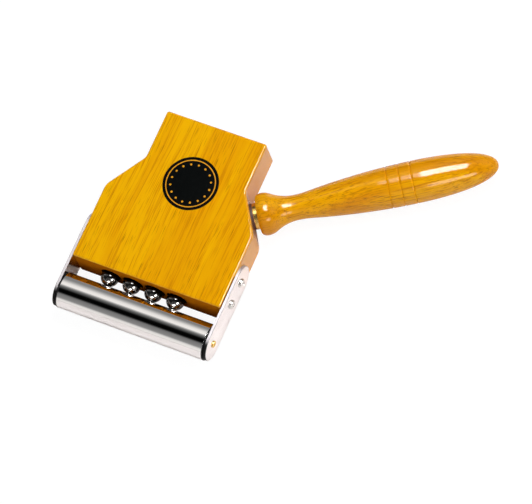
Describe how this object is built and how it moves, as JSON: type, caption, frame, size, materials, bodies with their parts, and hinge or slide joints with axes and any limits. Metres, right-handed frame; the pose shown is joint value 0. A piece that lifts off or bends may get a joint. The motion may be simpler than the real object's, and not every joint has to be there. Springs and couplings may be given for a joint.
{
  "type": "ball rattle",
  "caption": "Hand-held percussion rattle: loose steel balls in a drilled wooden block strike a steel tube held across its front; turned wooden handle.",
  "frame": {"origin": "centre of the block's flat back face, half-way along the block's length and midway between its sides", "axes": "+X along the tube's axis, towards the handle's side; +Y from the tube to the block's neck; +Z out of the front-facing broad face, away from the back face"},
  "size_m": [0.2513, 0.2036, 0.0295],
  "materials": {
    "block_wood": "clear gloss lacquer over amber-stained straight-grained wood",
    "handle_wood": "clear gloss lacquer over amber-stained turned wood",
    "brass": "polished",
    "fibre": "dark brown fibre",
    "polished_steel": "polished",
    "screw_steel": "bright zinc plated",
    "chrome": "mirror chrome",
    "black_plastic": "satin moulded",
    "ball_steel": "ground and polished"
  },
  "bodies": {
    "body": {"body_block": "block_wood", "handle": "handle_wood", "handle_ferrule": "brass", "handle_washer": "fibre", "handle_stud": "screw_steel", "strap_left": "polished_steel", "strap_right": "polished_steel", "strap_screw_left_front": "screw_steel", "strap_screw_left_rear": "screw_steel", "strap_screw_right_front": "screw_steel", "strap_screw_right_rear": "screw_steel", "axle": "brass", "spacer_left": "screw_steel", "spacer_right": "screw_steel"},
    "roller": {"roller_tube": "chrome", "end_cap_left": "black_plastic", "end_cap_right": "black_plastic"},
    "ball_1": {"ball_1": "ball_steel"},
    "ball_2": {"ball_2": "ball_steel"},
    "ball_3": {"ball_3": "ball_steel"},
    "ball_4": {"ball_4": "ball_steel"}
  },
  "joints": [
    {"name": "roller_spin", "type": "hinge", "parent": "body", "child": "roller", "pos_m": [0, -0.08205, 0.01375], "axis": [1, 0, 0], "continuous": true},
    {"name": "ball_1_travel", "type": "slide", "parent": "body", "child": "ball_1", "axis": [0, 1, 0], "range_m": [0, 0.01765]},
    {"name": "ball_2_travel", "type": "slide", "parent": "body", "child": "ball_2", "axis": [0, 1, 0], "range_m": [0, 0.01765]},
    {"name": "ball_3_travel", "type": "slide", "parent": "body", "child": "ball_3", "axis": [0, 1, 0], "range_m": [0, 0.01765]},
    {"name": "ball_4_travel", "type": "slide", "parent": "body", "child": "ball_4", "axis": [0, 1, 0], "range_m": [0, 0.01765]}
  ]
}
